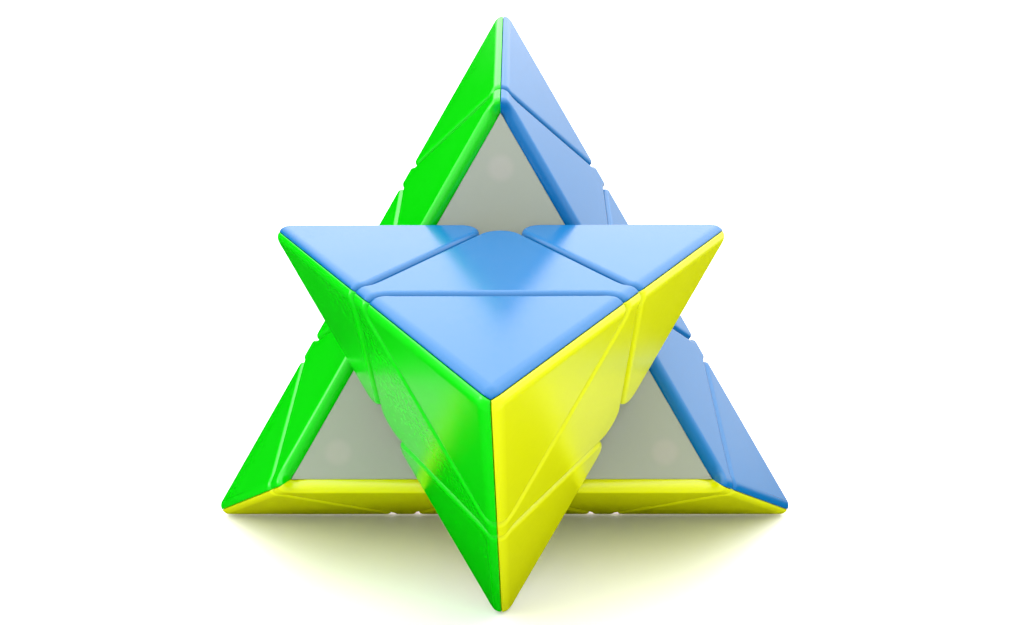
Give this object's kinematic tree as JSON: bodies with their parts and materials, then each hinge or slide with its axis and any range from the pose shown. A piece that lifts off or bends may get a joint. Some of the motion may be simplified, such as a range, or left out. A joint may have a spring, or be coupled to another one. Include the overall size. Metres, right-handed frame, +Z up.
{
  "type": "pyramid twisty puzzle",
  "caption": "Four-sided pyramid puzzle with turning tips and a turning corner layer, shown with the front layer half way round.",
  "frame": {"origin": "on the ground, below the middle of the bounding box; the puzzle stands on its back bottom ridge and on the lowest corner of the turned front layer", "axes": "+Z up, +X to the right seen from the front, -Y towards the front tip; the front turn axis leans down to the front in the YZ plane"},
  "size_m": [0.095, 0.0896, 0.0795],
  "materials": {
    "red_shell": "satin gloss moulded ABS",
    "yellow_shell": "satin gloss moulded ABS",
    "blue_shell": "satin gloss moulded ABS",
    "green_shell": "satin gloss moulded ABS",
    "milky_plastic": "translucent milky white, satin",
    "core_plastic": "black nylon",
    "magnet_metal": "nickel-plated magnet",
    "steel": "plated steel"
  },
  "bodies": {
    "back_layer": {"centre_top_base": "milky_plastic", "centre_left_base": "milky_plastic", "centre_right_base": "milky_plastic", "centre_top_red": "red_shell", "centre_top_blue": "blue_shell", "centre_top_green": "green_shell", "centre_left_red": "red_shell", "centre_left_yellow": "yellow_shell", "centre_left_green": "green_shell", "centre_right_red": "red_shell", "centre_right_yellow": "yellow_shell", "centre_right_blue": "blue_shell", "edge_top_left_base": "milky_plastic", "edge_top_right_base": "milky_plastic", "edge_left_right_base": "milky_plastic", "edge_top_left_red": "red_shell", "edge_top_left_green": "green_shell", "edge_top_right_red": "red_shell", "edge_top_right_blue": "blue_shell", "edge_left_right_red": "red_shell", "edge_left_right_yellow": "yellow_shell", "core": "core_plastic", "centre_screws": "steel", "washers": "steel", "springs": "steel", "caps_back": "milky_plastic", "magnets_back": "magnet_metal"},
    "front_layer": {"centre_front_base": "milky_plastic", "centre_front_yellow": "yellow_shell", "centre_front_blue": "blue_shell", "centre_front_green": "green_shell", "edge_front_top_base": "milky_plastic", "edge_front_left_base": "milky_plastic", "edge_front_right_base": "milky_plastic", "edge_front_top_blue": "blue_shell", "edge_front_top_green": "green_shell", "edge_front_left_yellow": "yellow_shell", "edge_front_left_green": "green_shell", "edge_front_right_yellow": "yellow_shell", "edge_front_right_blue": "blue_shell", "cap_front": "milky_plastic", "magnets_front": "magnet_metal"},
    "tip_front": {"tip_front_base": "milky_plastic", "tip_front_yellow": "yellow_shell", "tip_front_blue": "blue_shell", "tip_front_green": "green_shell"},
    "tip_top": {"tip_top_base": "milky_plastic", "tip_top_red": "red_shell", "tip_top_blue": "blue_shell", "tip_top_green": "green_shell"},
    "tip_left": {"tip_left_base": "milky_plastic", "tip_left_red": "red_shell", "tip_left_yellow": "yellow_shell", "tip_left_green": "green_shell"},
    "tip_right": {"tip_right_base": "milky_plastic", "tip_right_red": "red_shell", "tip_right_yellow": "yellow_shell", "tip_right_blue": "blue_shell"}
  },
  "joints": [
    {"name": "front_layer_turn", "type": "hinge", "parent": "back_layer", "child": "front_layer", "pos_m": [0, 0.01084, 0.03204], "axis": [0, -0.9624, 0.2718], "continuous": true},
    {"name": "tip_front_turn", "type": "hinge", "parent": "front_layer", "child": "tip_front", "pos_m": [0, 0.01084, 0.03204], "axis": [0, -0.9624, 0.2718], "continuous": true},
    {"name": "tip_top_turn", "type": "hinge", "parent": "back_layer", "child": "tip_top", "pos_m": [0, 0.01084, 0.03204], "axis": [0, 0.577, 0.8167], "continuous": true},
    {"name": "tip_left_turn", "type": "hinge", "parent": "back_layer", "child": "tip_left", "pos_m": [0, 0.01084, 0.03204], "axis": [-0.8165, 0.1927, -0.5443], "continuous": true},
    {"name": "tip_right_turn", "type": "hinge", "parent": "back_layer", "child": "tip_right", "pos_m": [0, 0.01084, 0.03204], "axis": [0.8165, 0.1927, -0.5443], "continuous": true}
  ]
}
